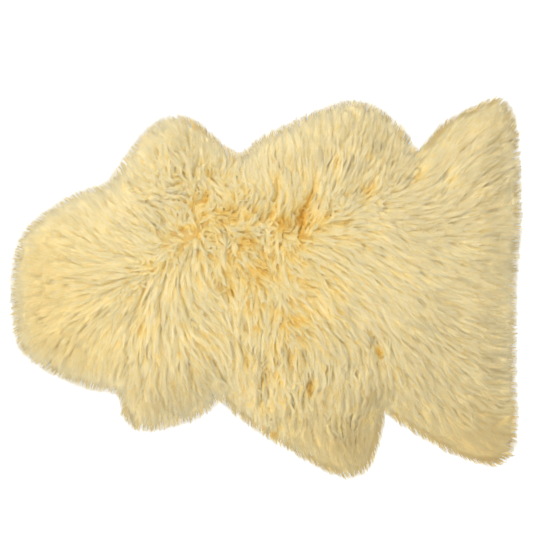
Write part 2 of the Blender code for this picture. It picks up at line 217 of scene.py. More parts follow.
# How the locks vary: least and most reach, as a share of the lock length or in mm, and share of their width.
BODY_REACH, BODY_GIRTH = (0.75, 1.2), (0.75, 1.25)
RIM_REACH, RIM_GIRTH = (0.7, 1.05), (0.7, 1.1)
CURL_REACH, CURL_GIRTH = (17, 30), (0.5, 0.9)
WISP_REACH, STRAY_REACH = (20, 38), (18, 42)
STRAND_GIRTH, FINE_GIRTH = (0.7, 1.3), (0.75, 1.25)
# Their lift in mm and their own tone: the usual spread, or for curls the range of lift and the mean and spread.
BODY_LIFT, BODY_TONE = 0.8, 0.04
RIM_LIFT, RIM_TONE = 0.5, 0.05
CURL_LIFT, CURL_TONE = (-0.5, 2.0), (-0.06, 0.06)
WISP_SHADE, STRAY_SHADE = (-0.05, 0.08), (0.08, 0.05)
CORE_ROLL, STRAND_ROLL, FINE_ROLL = 0.15, 0.22, 0.6  # how far they roll about their length, in radians
STRAY_VEER, STRAY_BEND, STRAY_ARCH = 0.3, 0.8, (0.5, 3.0)  # turns in radians, and height of the arch in mm
STRAY_GIRTH = 0.7  # width of a stray fibre as a share of a wisp's
STAGGER = (-0.18, 0.06)  # how far a strand is shifted along its lock, as a share of the reach
RIM_SWING, RIM_HALF = 0.7, 0.42  # share of the wave, and half a rim lock's width as a share of the lock width
RIM_LEVEL = (0.85, 1.05)  # how the height that the tips of the rim's locks keep varies
CURL_STRANDS = 3  # fibre bundles in a curl
CURL_VEER, CURL_BEND = 0.75, 1.5  # usual turn of a whole curl, and its bend along its length, in radians
CURL_CRIMP, CURL_WAVE = (0.1, 0.6), 7  # swing of its small waves, and their phase from root to tip, in radians
CURL_CHANCE, CURL_BACK = 0.5, 0.3  # of a curl where the wool is ruffled, and how far back its root stands
SHAKE, RIM_SHAKE = 0.4, 0.45  # how far a lock is from its place in the lattice or row, as a share of the spacing
TWIST = (0.2, 0.5)  # mean and spread of how far a strand turns round its lock's middle, in radians
BODY_MARGIN, CURL_MARGIN, STRAY_MARGIN = 8 * MM, 24 * MM, 45 * MM  # roots stand at least so far inside the rim
LEAST_REACH = 26 * MM  # shorter locks of the body are left out
SHARED_PHASE, OWN_PHASE = 5, 0.9  # how much the waves' start changes over the pelt and from lock to lock
WAVE_RANGE, VEER = (0.5, 1.5), 0.07  # share of the wave, and how far a whole lock veers, in radians

# The rim. Each row of its locks: tips past the outline, how far that varies and lift, in mm, and the share of the
# wool's height that its tips keep.
RIM_ROWS = ((0.5, 2.0, -0.4, 0.85), (-3.0, 2.2, -0.2, 0.95), (-9.0, 3.0, 0.3, 1.0))
TIPS_PAST = (-15, -4)  # where the body's locks end at most, in mm past the outline
WISPS_PAST, WISPS_VARY, WISPS_LIMIT = 6.0, 3.1, (-7, 16)  # where the wisps end, in mm past the outline
WISP_GATHER, WISP_SHARED = 0.15, 0.3  # how far fibres near their wisp's middle, and mm by which wisps differ
WISP_LEAN, WISP_VEER = 0.15, 0.12  # how far a whole wisp and one of its fibres turn aside, in radians
WISP_LEVEL = (0.6, 1.0)  # share of the wool's height that their tips keep
WISP_FLOOR = (0.9, 4.0)  # least height at the tip, and at most so much more at the root, in mm
WISP_SLIM, WISP_TAPER = (0.5, 1.25), 0.05  # least and most share of the width, and what each mm past the rim takes
WISP_FADE = 10 * MM  # past the outline, over which a wisp's tip takes its own tone
RIM_BLEND = 28 * MM  # inside this the rim's wool turns from the lie of the pelt to its way over the rim
RIM_LEAN = 0.85  # furthest that wool at the rim leans from straight out, in radians

# The wool's tones, as shares of the finish's map.
RIM_SHADE_WIDTH, RIM_SHADE_TINT, RIM_SHADE_PULL = 85 * MM, 0.9, 0.73  # painted shade by the rim: its width, the khaki tint it nears and by what share
RIDGE_LIGHT_AND_SHADE, BLOTCH_TONE = 0.08, 0.20  # how much lighter a ridge is and darker a furrow, as painted light and shade, and how far the tone varies in blotches
DARKER, LIGHTER = 0.22, 0.12  # how far a tone may lie from the middle one
AMBER, DARKEST, LIGHTEST = 0.04, 0.5, (0.56, 0.96)  # bounds of the least tone, and of the most
CORE_PAINTED_SHADE, SIDE_PAINTED_SHADE, LIFT_PAINTED_SHADE = 0.10, 0.12, 0.06  # painted shade by depth: darker core, darker sides, lighter lifted locks and darker sunk ones
OWN_TONES = 0.03  # how much strands of one lock vary
WISP_TONE = 0.6  # of the tips that reach past the outline

# The underwool.
FELT_STEP, FELT_INSET = 8 * MM, 25 * MM  # grid spacing, and how far inside the rim the felt ends
FELT_RISE, FELT_EDGE = 65 * MM, 40 * MM  # widths over which it rises to its full height, and stays khaki as painted rim shade
FELT_EXTRUDE = 0.1  # how deep it is pulled before its points are placed
FELT_LIFT, FELT_LEAST = 1 * MM, 2 * MM  # its underside over the hide, and its least thickness
LUMP_HEIGHT, SWELL_HEIGHT = 1.6 * MM, 1.0 * MM  # how far its surface rises and falls

# The stage, in metres.
VIEW_MIDDLE = (16.4 * MM, 24.4 * MM)  # the rug lies a little left of and below the frame's middle
FLOOR_SIZE, FLOOR_DROP, FLOOR_GLOW = 12, 0.2 * MM, 0.5  # width, distance under the hide, own light
KEY_PLACE, FILL_PLACE, LAMP_SIZE = (-2.2, 2.2, 3.4), (-0.2, -2.6, 3.4), 2.2
FILL_SHARE, SKY_STRENGTH = 0.3, 0.70


# Numbers and maps.


def rows_of(table):
    """A table's rows, without the names of their places."""
    return [row for _, *rows in table for row in rows]


def smooth_loop(points):
    """A closed Catmull-Rom curve through the points, as a dense array."""
    points = np.array(points, float)
    before, after, beyond = (np.roll(points, n, axis=0) for n in (1, -1, -2))
    steps = np.arange(SPAN_POINTS) / SPAN_POINTS
    spans = [
        points + 0.5 * (
            (after - before) * t
            + (2 * before - 5 * points + 4 * after - beyond) * t**2
            + (3 * points - before - 3 * after + beyond) * t**3
        )
        for t in steps
    ]
    return np.stack(spans, axis=1).reshape(-1, 2)


def unit(vectors):
    """The vectors, each made 1 long."""
    return vectors / (np.linalg.norm(vectors, axis=-1, keepdims=True) + 1e-12)


def toward(heading, distance):
    """Steps of the given distances along the headings."""
    return np.column_stack([np.cos(heading), np.sin(heading)]) * distance[:, None]


class Map:
    """Values on an even grid over the rug, read between its points."""

    def __init__(self, values):
        self.values = np.asarray(values, float)

    @staticmethod
    def spots():
        """The x and y of the grid's points."""
        x = np.arange(FLEECE_LOW.x - MAP_MARGIN, FLEECE_HIGH.x + MAP_MARGIN, MAP_STEP)
        y = np.arange(FLEECE_LOW.y - MAP_MARGIN, FLEECE_HIGH.y + MAP_MARGIN, MAP_STEP)
        return np.meshgrid(x, y, indexing="ij")

    @staticmethod
    def cells(x, y):
        """Where spots lie on the grid, in steps from its corner."""
        return (x - FLEECE_LOW.x + MAP_MARGIN) / MAP_STEP, (y - FLEECE_LOW.y + MAP_MARGIN) / MAP_STEP

    def at(self, x, y):
        """The value at each spot."""
        column, row = (np.clip(v, 0, n - 1.001) for v, n in zip(self.cells(x, y), self.values.shape))
        i, j = column.astype(int), row.astype(int)
        u, v = column - i, row - j
        grid = self.values
        return (
            grid[i, j] * (1 - u) * (1 - v)
            + grid[i + 1, j] * u * (1 - v)
            + grid[i, j + 1] * (1 - u) * v
            + grid[i + 1, j + 1] * u * v
        )

    def fall(self, x, y, step):
        """How far the values fall from a step before each spot to a step past it, in x and in y."""
        return self.at(x - step, y) - self.at(x + step, y), self.at(x, y - step) - self.at(x, y + step)

    def blurred(self, rounds):
        """The map, evened out."""
        values = self.values
        for _ in range(rounds):
            for axis in (0, 1):
                beside = np.roll(values, 1, axis=axis) + np.roll(values, -1, axis=axis)
                values = values / 2 + beside / 4
        return Map(values)


def noise(x, y, length, seed):
    """Smooth random values from -1 to 1 that change over the given length."""
    rng = np.random.default_rng(seed)
    table = rng.uniform(-1, 1, (NOISE_CELLS, NOISE_CELLS))
    column, row = x / length + NOISE_SHIFT[0], y / length + NOISE_SHIFT[1]
    i, j = np.floor(column).astype(int), np.floor(row).astype(int)
    u, v = column - i, row - j
    u, v = u * u * (3 - 2 * u), v * v * (3 - 2 * v)
    i, j = i % NOISE_CELLS, j % NOISE_CELLS
    k, m = (i + 1) % NOISE_CELLS, (j + 1) % NOISE_CELLS
    near = table[i, j] * (1 - u) + table[k, j] * u
    far = table[i, m] * (1 - u) + table[k, m] * u
    return near * (1 - v) + far * v


def blend_weights(x, y, rows, reach):
    """Weights of a table's rows at each spot, by how near they are."""
    weight = [np.exp(-((x - row[0] * MM) ** 2 + (y - row[1] * MM) ** 2) / (2 * reach**2)) for row in rows]
    weight = np.array(weight) + 1e-9
    return weight / weight.sum(axis=0)


def height_map():
    """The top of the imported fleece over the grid, evened out between the rim locks."""
    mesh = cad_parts["fleece"].data
    tree = BVHTree.FromPolygons([v.co for v in mesh.vertices], [p.vertices for p in mesh.polygons])
    x, y = Map.spots()
    high, down = FLEECE_HIGH.z + SKY, Vector((0, 0, -1))
    hits = [tree.ray_cast(Vector((a, b, high)), down)[0] for a, b in zip(x.ravel(), y.ravel())]
    tops = np.array([0.0 if hit is None else hit.z for hit in hits]).reshape(x.shape)
    return Map(tops).blurred(TOP_BLUR)


def rim_map(loop):
    """How far inside the outline each grid point is, below zero outside."""
    x, y = Map.spots()
    spots = np.column_stack([x.ravel(), y.ravel()])
    start, end = loop, np.roll(loop, -1, axis=0)
    near = np.full(len(spots), np.inf)
    crossings = np.zeros(len(spots), int)
    rise = np.where(end[:, 1] == start[:, 1], 1, end[:, 1] - start[:, 1])
    for a, b, r in zip(start, end, rise):
        near = np.minimum(near, ((spots - a) ** 2).sum(axis=1))
        spans = (a[1] > spots[:, 1]) != (b[1] > spots[:, 1])
        crossings += spans & (a[0] + (spots[:, 1] - a[1]) * (b[0] - a[0]) / r > spots[:, 0])
    sign = np.where(crossings % 2 == 1, 1, -1)
    return Map((np.sqrt(near) * sign).reshape(x.shape))


def oval(x, y, row_x, row_y, length, width, heading):
    """1 at an oval's middle, falling off smoothly to its edge and past it."""
    turn = math.radians(heading)
    along = (x - row_x * MM) * math.cos(turn) + (y - row_y * MM) * math.sin(turn)
    across = (y - row_y * MM) * math.cos(turn) - (x - row_x * MM) * math.sin(turn)
    return np.exp(-((along / (length * MM / 2)) ** 2) - (across / (width * MM / 2)) ** 2)


class Pelt:
    """The maps that every piece of wool follows."""

    def __init__(self, sizes):
        loop = smooth_loop(rows_of(OUTLINE)) * MM
        loop = loop - (loop.min(axis=0) + loop.max(axis=0)) / 2
        self.closed = np.vstack([loop, loop[:1]])
        self.run = np.concatenate([[0], np.cumsum(np.linalg.norm(np.diff(self.closed, axis=0), axis=1))])
        self.rim = rim_map(loop)
        self.height = height_map()
        x, y = Map.spots()
        ruffled = [
            (oval(x, y, row_x, row_y, 2 * reach_x, 2 * reach_y, 0), length, ruffle)
            for row_x, row_y, reach_x, reach_y, length, ruffle in rows_of(RUFFLES)
        ]
        self.ruffle = Map(sum(ruffle * spot for spot, _, ruffle in ruffled))
        self.length = Map(np.prod([1 + (length - 1) * spot for spot, length, _ in ruffled], axis=0))
        self.parting = Map(np.max([row[5] * oval(x, y, *row[:5]) for row in rows_of(PARTINGS)], axis=0))
        self.across, self.up = self.groom(sizes)
        rows = rows_of(CHARACTER)
        weight = blend_weights(x, y, rows, CHARACTER_BLEND)
        tint, shag, paling = (np.tensordot(column, weight, 1) for column in list(zip(*rows))[2:])
        self.tint, self.shag = Map(tint), Map(shag)
        at_neck = np.clip(0.5 - 1.5 * x, 0, 1)  # from 1 at the neck to 0 at the rump
        paling = paling + (PALEST - paling) * at_neck * np.clip(1 - self.rim.values / PALE_RIM, 0, 1)
        self.paling = Map(paling * (1 - PARTING_PAINTED_SHADE * np.clip(self.parting.values, 0, 1)))
        self.combed = self.comb()
        set_in = np.clip(self.rim.values / RELIEF_FADE, 0, 1)
        relief = sizes.relief * self.shag.values * self.combed.values * set_in
        relief = relief - sizes.parting_depth * self.parting.values
        self.top = Map(self.height.values + relief)
        self.even = Map(self.height.blurred(EVEN_BLUR).values + relief)

    def groom(self, sizes):
        """Cosine and sine of the wool's heading, which wanders a little and turns aside where it is ruffled."""
        x, y = Map.spots()
        rows = rows_of(GROOM)
        weight = blend_weights(x, y, rows, GROOM_BLEND)
        turn = np.radians([row[2] for row in rows])
        across, up = (np.tensordot(part, weight, 1) for part in (np.cos(turn), np.sin(turn)))
        wander = sizes.wander * noise(x, y, *WANDER) + 0.6 * sizes.wander * noise(x, y, *FINE_WANDER)
        wander = wander + TANGLE_TURN * np.clip(self.ruffle.values, 0, 1) * noise(x, y, *TANGLE)
        heading = np.arctan2(up, across) + wander
        return Map(np.cos(heading)), Map(np.sin(heading))

    def comb(self):
        """Ridges and furrows along the lie of the wool, 1 on a usual ridge and -1 in a usual furrow."""
        x, y = Map.spots()
        grain = Map(np.random.default_rng(COMB_SEED).normal(0, 1, x.shape)).blurred(1)
        total = grain.values
        steps = round(COMB_REACH / MAP_STEP)
        for way in (1, -1):
            at_x, at_y = x, y
            for k in range(steps):
                heading = self.lie(at_x, at_y)
                at_x = at_x + way * MAP_STEP * np.cos(heading)
                at_y = at_y + way * MAP_STEP * np.sin(heading)
                total = total + (1 - k / steps) * grain.at(at_x, at_y)
        total = total - Map(total).blurred(COMB_BLUR).values
        return Map(np.clip(total / total.std(), -RIDGE_LIMIT, RIDGE_LIMIT))

    def facing(self, x, y):
        """Normals of the wool's combed surface."""
        across, up = self.even.fall(x, y, MAP_STEP)
        steep = np.clip(RIM_STEEP + self.rim.at(x, y) / STEEP_FADE, RIM_STEEP, 1)
        return unit(np.stack([across * steep, up * steep, np.full_like(across, 2 * MAP_STEP)], axis=-1))

    def rim_spot(self, at):
        """Points on the outline at the given distances round it."""
        at = at % self.run[-1]
        return np.column_stack([np.interp(at, self.run, self.closed[:, k]) for k in (0, 1)])

    def lie(self, x, y):
        """The heading of the wool at each spot, in radians."""
        return np.arctan2(self.up.at(x, y), self.across.at(x, y))

    def outward(self, x, y):
        """The heading straight out over the nearest rim."""
        across, up = self.rim.fall(x, y, 2 * MAP_STEP)
        return np.arctan2(up, across)


def lattice(step, rng, pelt, margin):
    """Staggered, shaken spots that lie at least margin inside the outline."""
    rows = np.arange(-RUG_WIDTH / 2, RUG_WIDTH / 2, step * math.sqrt(0.75))
    columns = np.arange(-RUG_LENGTH / 2, RUG_LENGTH / 2, step)
    x, y = np.meshgrid(columns, rows)
    x = x + step / 2 * (np.arange(len(rows)) % 2)[:, None]
    x = x.ravel() + rng.uniform(-SHAKE, SHAKE, x.size) * step
    y = y.ravel() + rng.uniform(-SHAKE, SHAKE, y.size) * step
    kept = pelt.rim.at(x, y) > margin
    return x[kept], y[kept]


# Meshes and materials.


def deselect():
    """Leaves edit mode and selects nothing."""
    if bpy.context.object and bpy.context.object.mode != "OBJECT":
        bpy.ops.object.mode_set(mode="OBJECT")
    bpy.ops.object.select_all(action="DESELECT")


def strand_faces(points):
    """One strand's faces, their corners' places on the finish's map, and whether each face lies below."""
    faces, marks, below = [], [], []
    for k in range(points - 1):
        low, high = k / (points - 1), (k + 1) / (points - 1)
        for j in range(3):
            near, far = 3 * k + j, 3 * k + (j + 1) % 3
            left, right = ACROSS[j], ACROSS[j + 1]
            if k < points - 2:
                faces.append((near, far, far + 3, near + 3))
                marks.append(((left, low), (right, low), (right, high), (left, high)))
            else:
                faces.append((near, far, 3 * k + 3))
                marks.append(((left, low), (right, low), (0.5, 1.0)))
            below.append(j == 0)
    faces.append((0, 2, 1))
    marks.append(((0.0, 0.0), (0.5, 0.0), (1.0, 0.01)))
    below.append(False)
    return faces, marks, below


def strand_mesh(name, groups, finish, pelt):
    """One joined mesh of flat, tapered, three-sided strands.

    Each group holds paths, strands by points by 3, widths, strands by points with 0 at the tip, rolls, which
    turn each strand's section, tones, strands by points, which place it across the finish's map, and the band
    of the map that it covers. The map's other way runs from root to tip. Normals lean from the strand's own
    towards those of the wool's surface, so that the strands shade as one soft coat.
    """
    coords, corners, sizes, places, normals, start = [], [], [], [], [], 0
    for paths, widths, rolls, tones, band in groups:
        count, points = widths.shape
        along = unit(np.gradient(paths, axis=1))
        side = unit(np.cross(np.array([0, 0, 1.0]), along))
        top = np.cross(along, side)
        turn = rolls[:, None, None]
        side, top = side * np.cos(turn) + top * np.sin(turn), top * np.cos(turn) - side * np.sin(turn)
        over, half = top[:, :-1], widths[:, :-1, None] / 2
        aside, sunk = side[:, :-1] * half, paths[:, :-1] - over * half * SIDE_DROP
        ring = np.stack([sunk - aside, sunk + aside, paths[:, :-1] + over * half * RIDGE_RISE], axis=2)
        spots = np.concatenate([ring.reshape(count, -1, 3), paths[:, -1:]], axis=1)
        spots[..., 2] = np.maximum(spots[..., 2], LEAST_HEIGHT)
        coords.append(spots.reshape(-1, 3))
        tilt = side[:, :-1] * SIDE_TILT
        own = np.stack([over - tilt, over + tilt, over], axis=2).reshape(count, -1, 3)
        own = unit(np.concatenate([own, top[:, -1:]], axis=1))
        own = unit(own * (1 - SOFTNESS) + pelt.facing(spots[..., 0], spots[..., 1]) * SOFTNESS)
        under = np.concatenate([np.repeat(-over, 3, axis=1), -top[:, -1:]], axis=1)
        faces, marks, below = strand_faces(points)
        picked = np.array([corner for face in faces for corner in face])
        face_sizes = [len(face) for face in faces]
        corners.append((start + np.arange(count)[:, None] * spots.shape[1] + picked).ravel())
        sizes.append(np.tile(face_sizes, count))
        down = np.repeat(below, face_sizes)[None, :, None]
        normals.append(np.where(down, under[:, picked], own[:, picked]).reshape(-1, 3))
        across, up = np.array([mark for face in marks for mark in face]).T
        across = tones[:, picked // 3] + (across - 0.5) * band
        up = up * pelt.paling.at(paths[..., 0], paths[..., 1])[:, picked // 3]
        places.append(np.stack([across, up], axis=2).reshape(-1, 2))
        start += count * spots.shape[1]
    coords, corners, sizes = np.concatenate(coords), np.concatenate(corners), np.concatenate(sizes)
    mesh = bpy.data.meshes.new(name)
    mesh.vertices.add(len(coords))
    mesh.vertices.foreach_set("co", coords.ravel())
    mesh.loops.add(len(corners))
    mesh.loops.foreach_set("vertex_index", corners.astype(np.int32))
    mesh.polygons.add(len(sizes))
    mesh.polygons.foreach_set("loop_start", np.concatenate([[0], np.cumsum(sizes)[:-1]]).astype(np.int32))
    mesh.update(calc_edges=True)
    mesh.shade_smooth()
    soft = mesh.attributes.new("custom_normal", "FLOAT_VECTOR", "CORNER")
    soft.data.foreach_set("vector", np.concatenate(normals).astype(np.float32).ravel())
    mesh.uv_layers.new(name="OFBake").data.foreach_set("uv", np.concatenate(places).ravel())
    made = bpy.data.objects.new(name, mesh)
    bpy.context.scene.collection.objects.link(made)
    mesh.materials.append(finish)
    return made


def linear(colour):
    """A linear RGBA colour from an sRGB hex value or from three linear numbers."""
    if not isinstance(colour, int):
        return (*colour, 1.0)
    parts = [(colour >> shift & 255) / 255 for shift in (16, 8, 0)]
    return (*(p / 12.92 if p <= 0.04045 else ((p + 0.055) / 1.055) ** 2.4 for p in parts), 1.0)


def add_node(tree, kind, links=None, stops=(), **settings):
    """Adds a node, sets its properties, unlinked sockets and ramp stops, and links the sockets in links."""
    node = tree.nodes.new(kind)
    for name, value in settings.items():
        if hasattr(node, name):
            setattr(node, name, value)
        else:
            node.inputs[name.replace("_", " ")].default_value = value
    for name, source in (links or {}).items():
        tree.links.new(source, node.inputs[name])
    for _ in stops[2:]:
        node.color_ramp.elements.new(0.5)
    for k, (place, colour) in enumerate(stops):
        node.color_ramp.elements[k].position = place
        node.color_ramp.elements[k].color = linear(colour)
    return node


def new_material(name, **sockets):
    """A material with a Principled shader set at the given sockets. Returns the material, its tree and shader."""
    made = bpy.data.materials.new(name)
    made.use_nodes = True
    shader = made.node_tree.nodes["Principled BSDF"]
    for socket, value in sockets.items():
        shader.inputs[socket.replace("_", " ")].default_value = value
    return made, made.node_tree, shader


def golden_wool(colours):
    """Medically tanned lambswool: amber and gold where the fibres are rooted, cream and khaki at the tips.

    The strands' own map holds the tone across, from amber over gold and cream to khaki, and root to tip upwards.
    The deeper colour towards the roots is partly the wool's own and partly painted shade of the deep wool.
    Bundles of fibres 0.3 mm wide run along each strand, and light that scatters among them softens the shade.
    """
    made, tree, shader = new_material(
        "golden lambswool", Roughness=0.8, IOR=1.55, Specular_IOR_Level=0.12, Sheen_Weight=0.06,
        Sheen_Roughness=0.5, Sheen_Tint=linear(0xFFF3D6), Subsurface_Weight=0.6, Subsurface_Scale=3.0 * MM,
        Subsurface_Radius=(1.0, 0.8, 0.55),
    )
    shader.subsurface_method = "BURLEY"
    uv = add_node(tree, "ShaderNodeUVMap", uv_map="OFBake").outputs["UV"]
    split = add_node(tree, "ShaderNodeSeparateXYZ", {"Vector": uv})
    wool = None
    # Each ramp pales from root to tip: partly the wool's own colour, partly painted shade of the deep wool.
    for start, reached, stops in (
        (0.00, 0.02, ((0.0, 0xEBA93E), (0.35, 0xF2BD5A), (0.62, 0xF7CB70), (1.0, 0xF9D585))),
        (0.02, 0.26, ((0.0, colours.depth), (0.35, 0xF8D47A), (0.62, 0xFBDF94), (1.0, 0xFBE5A6))),
        (0.26, 0.60, ((0.0, 0xF1D28E), (0.30, 0xF3DB98), (0.55, 0xF4E3AE), (1.0, colours.tip))),
        (0.60, 0.95, ((0.0, 0xDDC28A), (0.35, 0xDDC994), (0.62, 0xDECEA0), (1.0, 0xDFD3AC))),
    ):
        colour = add_node(tree, "ShaderNodeValToRGB", {"Fac": split.outputs["Y"]}, stops).outputs["Color"]
        if wool:
            share = add_node(
                tree, "ShaderNodeMapRange", {"Value": split.outputs["X"]}, From_Min=start, From_Max=reached
            )
            links = {0: share.outputs["Result"], 6: wool, 7: colour}
            colour = add_node(tree, "ShaderNodeMix", links, data_type="RGBA").outputs[2]
        wool = colour
    stretched = add_node(tree, "ShaderNodeMapping", {"Vector": uv}, Scale=(500.0, 3.0, 1.0))
    bundles = add_node(tree, "ShaderNodeTexNoise", {"Vector": stretched.outputs["Vector"]}, Scale=1.0, Detail=1.0)
    stops = ((0.3, 0xF3EDE0), (0.7, 0xFFFFFF))
    shade = add_node(tree, "ShaderNodeValToRGB", {"Fac": bundles.outputs["Fac"]}, stops)
    links = {6: wool, 7: shade.outputs["Color"]}
    lined = add_node(tree, "ShaderNodeMix", links, data_type="RGBA", blend_type="MULTIPLY", Factor=1.0)
    tree.links.new(lined.outputs[2], shader.inputs["Base Color"])
    return made


def felted_underwool(colours):
    """The dense wool by the skin: matted, deep gold and matt.

    It turns to khaki by the rim as painted shade, and to amber in the partings, the roots' own colour deepened as
    painted shade. Its clumps of fibre are drawn 1.4 mm across.
    """
    made, tree, shader = new_material("felted underwool", Roughness=0.95, Specular_IOR_Level=0.15)
    place = add_node(tree, "ShaderNodeTexCoord").outputs["Object"]
    broad = add_node(tree, "ShaderNodeTexNoise", {"Vector": place}, Scale=60.0, Detail=4.0)
    stops = ((0.3, colours.depth), (0.7, 0xF2CD80))
    gold = add_node(tree, "ShaderNodeValToRGB", {"Fac": broad.outputs["Fac"]}, stops)
    # Khaki by the rim is painted shade.
    edge = add_node(tree, "ShaderNodeAttribute", attribute_name="edge").outputs["Fac"]
    stops = ((0.3, 0xDEC68C), (0.7, 0xE9D6A4))
    khaki = add_node(tree, "ShaderNodeValToRGB", {"Fac": broad.outputs["Fac"]}, stops)
    links = {0: edge, 6: gold.outputs["Color"], 7: khaki.outputs["Color"]}
    tinted_and_rim_shaded = add_node(tree, "ShaderNodeMix", links, data_type="RGBA").outputs[2]
    # Amber in the partings: the roots' own colour, deepened as painted shade.
    stops = ((0.3, 0xE39A2B), (0.7, 0xEDAE45))
    amber = add_node(tree, "ShaderNodeValToRGB", {"Fac": broad.outputs["Fac"]}, stops)
    parting_shade = add_node(tree, "ShaderNodeAttribute", attribute_name="parting_shade").outputs["Fac"]
    links = {0: parting_shade, 6: tinted_and_rim_shaded, 7: amber.outputs["Color"]}
    felt_and_shade = add_node(tree, "ShaderNodeMix", links, data_type="RGBA")
    tree.links.new(felt_and_shade.outputs[2], shader.inputs["Base Color"])
    fine = add_node(tree, "ShaderNodeTexNoise", {"Vector": place}, Scale=700.0, Detail=3.0)
    bump = add_node(tree, "ShaderNodeBump", {"Height": fine.outputs["Fac"]}, Strength=0.6, Distance=1.5 * MM)
    tree.links.new(bump.outputs["Normal"], shader.inputs["Normal"])
    return made


def tanned_hide(colours):
    """Buffed suede of a tanned skin: matt tan with dye in clouds 11 cm across and a short nap.

    The nap is drawn 1.1 mm across, coarser than it is, so that it shows.
    """
    made, tree, shader = new_material("tanned hide", Roughness=0.85, Sheen_Weight=0.2)
    place = add_node(tree, "ShaderNodeTexCoord").outputs["Object"]
    cloud = add_node(tree, "ShaderNodeTexNoise", {"Vector": place}, Scale=9.0, Detail=5.0)
    stops = ((0.3, 0xB5803F), (0.7, colours.hide))
    dye = add_node(tree, "ShaderNodeValToRGB", {"Fac": cloud.outputs["Fac"]}, stops)
    tree.links.new(dye.outputs["Color"], shader.inputs["Base Color"])
    nap = add_node(tree, "ShaderNodeTexNoise", {"Vector": place}, Scale=900.0, Detail=2.0)
    bump = add_node(tree, "ShaderNodeBump", {"Height": nap.outputs["Fac"]}, Strength=0.4, Distance=0.6 * MM)
    tree.links.new(bump.outputs["Normal"], shader.inputs["Normal"])
    return made


# Wool.


def follow(pelt, x, y, turns, reach, run):
    """Paths that start at x, y and follow the lie of the wool, veered by turns, for their reach."""
    path = [np.column_stack([x, y])]
    for k, share in enumerate(np.diff(run)):
        path.append(path[-1] + toward(pelt.lie(*path[-1].T) + turns[:, k], reach * share))
    return np.stack(path, axis=1)


def trace_back(pelt, tips, reach, turns, run):
    """Paths that end at the tips, led back in along the lie of the wool, veered by turns."""
    path = [tips]
    for k in range(len(run) - 1, 0, -1):
        x, y = path[-1].T
        out = pelt.outward(x, y)
        limit = RIM_LEAN + (math.pi - RIM_LEAN) * np.clip(pelt.rim.at(x, y) / RIM_BLEND, 0, 1)
        lean = np.angle(np.exp(1j * (pelt.lie(x, y) - out)))
        heading = out + np.clip(lean, -limit, limit) + turns[:, k - 1]
        path.append(path[-1] - toward(heading, reach * (run[k] - run[k - 1])))
    return np.stack(path[::-1], axis=1)


def swing(pelt, sizes, rng, x, y):
    """How far each stretch of a lock veers from the lie of the wool, in a wave shared with its neighbours."""
    count = len(x)
    phase = SHARED_PHASE * noise(x, y, *WAVE_START) + rng.normal(0, OWN_PHASE, count)
    wave = sizes.wave * pelt.shag.at(x, y) * (1 + np.clip(pelt.ruffle.at(x, y), 0, 1))
    wave = wave * rng.uniform(*WAVE_RANGE, count)
    at = LOCK_RUN[:-1] + np.diff(LOCK_RUN) / 2
    turns = wave[:, None] * np.cos(phase[:, None] + at * 2 * math.pi * sizes.waves)
    return turns + rng.normal(0, VEER, (count, 1))


def body_guides(pelt, sizes, rng):
    """The body's locks: middle line, reach, lift, half width, tone, height share at the tip."""
    x, y = lattice(sizes.lock_spacing, rng, pelt, BODY_MARGIN)
    reach = sizes.lock_length * pelt.length.at(x, y) * rng.uniform(*BODY_REACH, len(x))
    heading = pelt.lie(x, y)
    past = rng.uniform(*TIPS_PAST, len(x)) * MM
    for _ in range(4):
        end = pelt.rim.at(x + np.cos(heading) * reach, y + np.sin(heading) * reach)
        reach = np.where(end < -past, reach - (-past - end), reach)
    kept = reach > LEAST_REACH * pelt.length.at(x, y)
    x, y, reach = x[kept], y[kept], reach[kept]
    count = len(x)
    paths = follow(pelt, x, y, swing(pelt, sizes, rng, x, y), reach, LOCK_RUN)
    half = rng.uniform(*BODY_GIRTH, count) * sizes.lock_width / 2
    shag = pelt.shag.at(x, y)
    lift, own = rng.normal(0, BODY_LIFT, count) * MM * shag, rng.normal(0, BODY_TONE, count) * shag
    spots = np.concatenate([paths[:, 1:], (paths[:, 1:] + paths[:, :-1]) / 2], axis=1)
    beside = pelt.parting.at(spots[..., 0], spots[..., 1]).max(axis=1) < sizes.open_parting
    return [part[beside] for part in (paths, reach, lift, half, own, np.ones(count))]


def rim_guides(pelt, sizes, rng):
    """The rim's locks, in rows that lie over each other and droop to the floor, as the body's are given."""
    rows = []
    for past, scatter, lift, level in RIM_ROWS:
        count = int(pelt.run[-1] / sizes.rim_spacing)
        spot = pelt.rim_spot((np.arange(count) + rng.uniform(-RIM_SHAKE, RIM_SHAKE, count)) * pelt.run[-1] / count)
        spot = spot + toward(pelt.outward(*spot.T), (past + rng.normal(0, scatter, count)) * MM)
        reach = sizes.lock_length * rng.uniform(*RIM_REACH, count)
        paths = trace_back(pelt, spot, reach, swing(pelt, sizes, rng, *spot.T) * RIM_SWING, LOCK_RUN)
        half = rng.uniform(*RIM_GIRTH, count) * sizes.lock_width * RIM_HALF
        lifts, own = (lift + rng.normal(0, RIM_LIFT, count)) * MM, rng.normal(0, RIM_TONE, count)
        rows.append((paths, reach, lifts, half, own, level * rng.uniform(*RIM_LEVEL, count)))
    return [np.concatenate(part) for part in zip(*rows)]


def cover(guides):
    """How many layers of locks lie over each place."""
    paths, reach, _, half, _, _ = guides
    share = np.linspace(0.25, 0.95, 12)
    x, y = (np.array([np.interp(share, LOCK_RUN, row) for row in paths[..., k]]) for k in (0, 1))
    grid = np.zeros(Map.spots()[0].shape)
    i, j = (np.clip(v.round().astype(int), 0, n - 1) for v, n in zip(Map.cells(x, y), grid.shape))
    area = np.broadcast_to((2 * half * reach * 0.7 / len(share))[:, None], x.shape)
    np.add.at(grid, (i, j), area / MAP_STEP**2)
    return Map(grid).blurred(3)


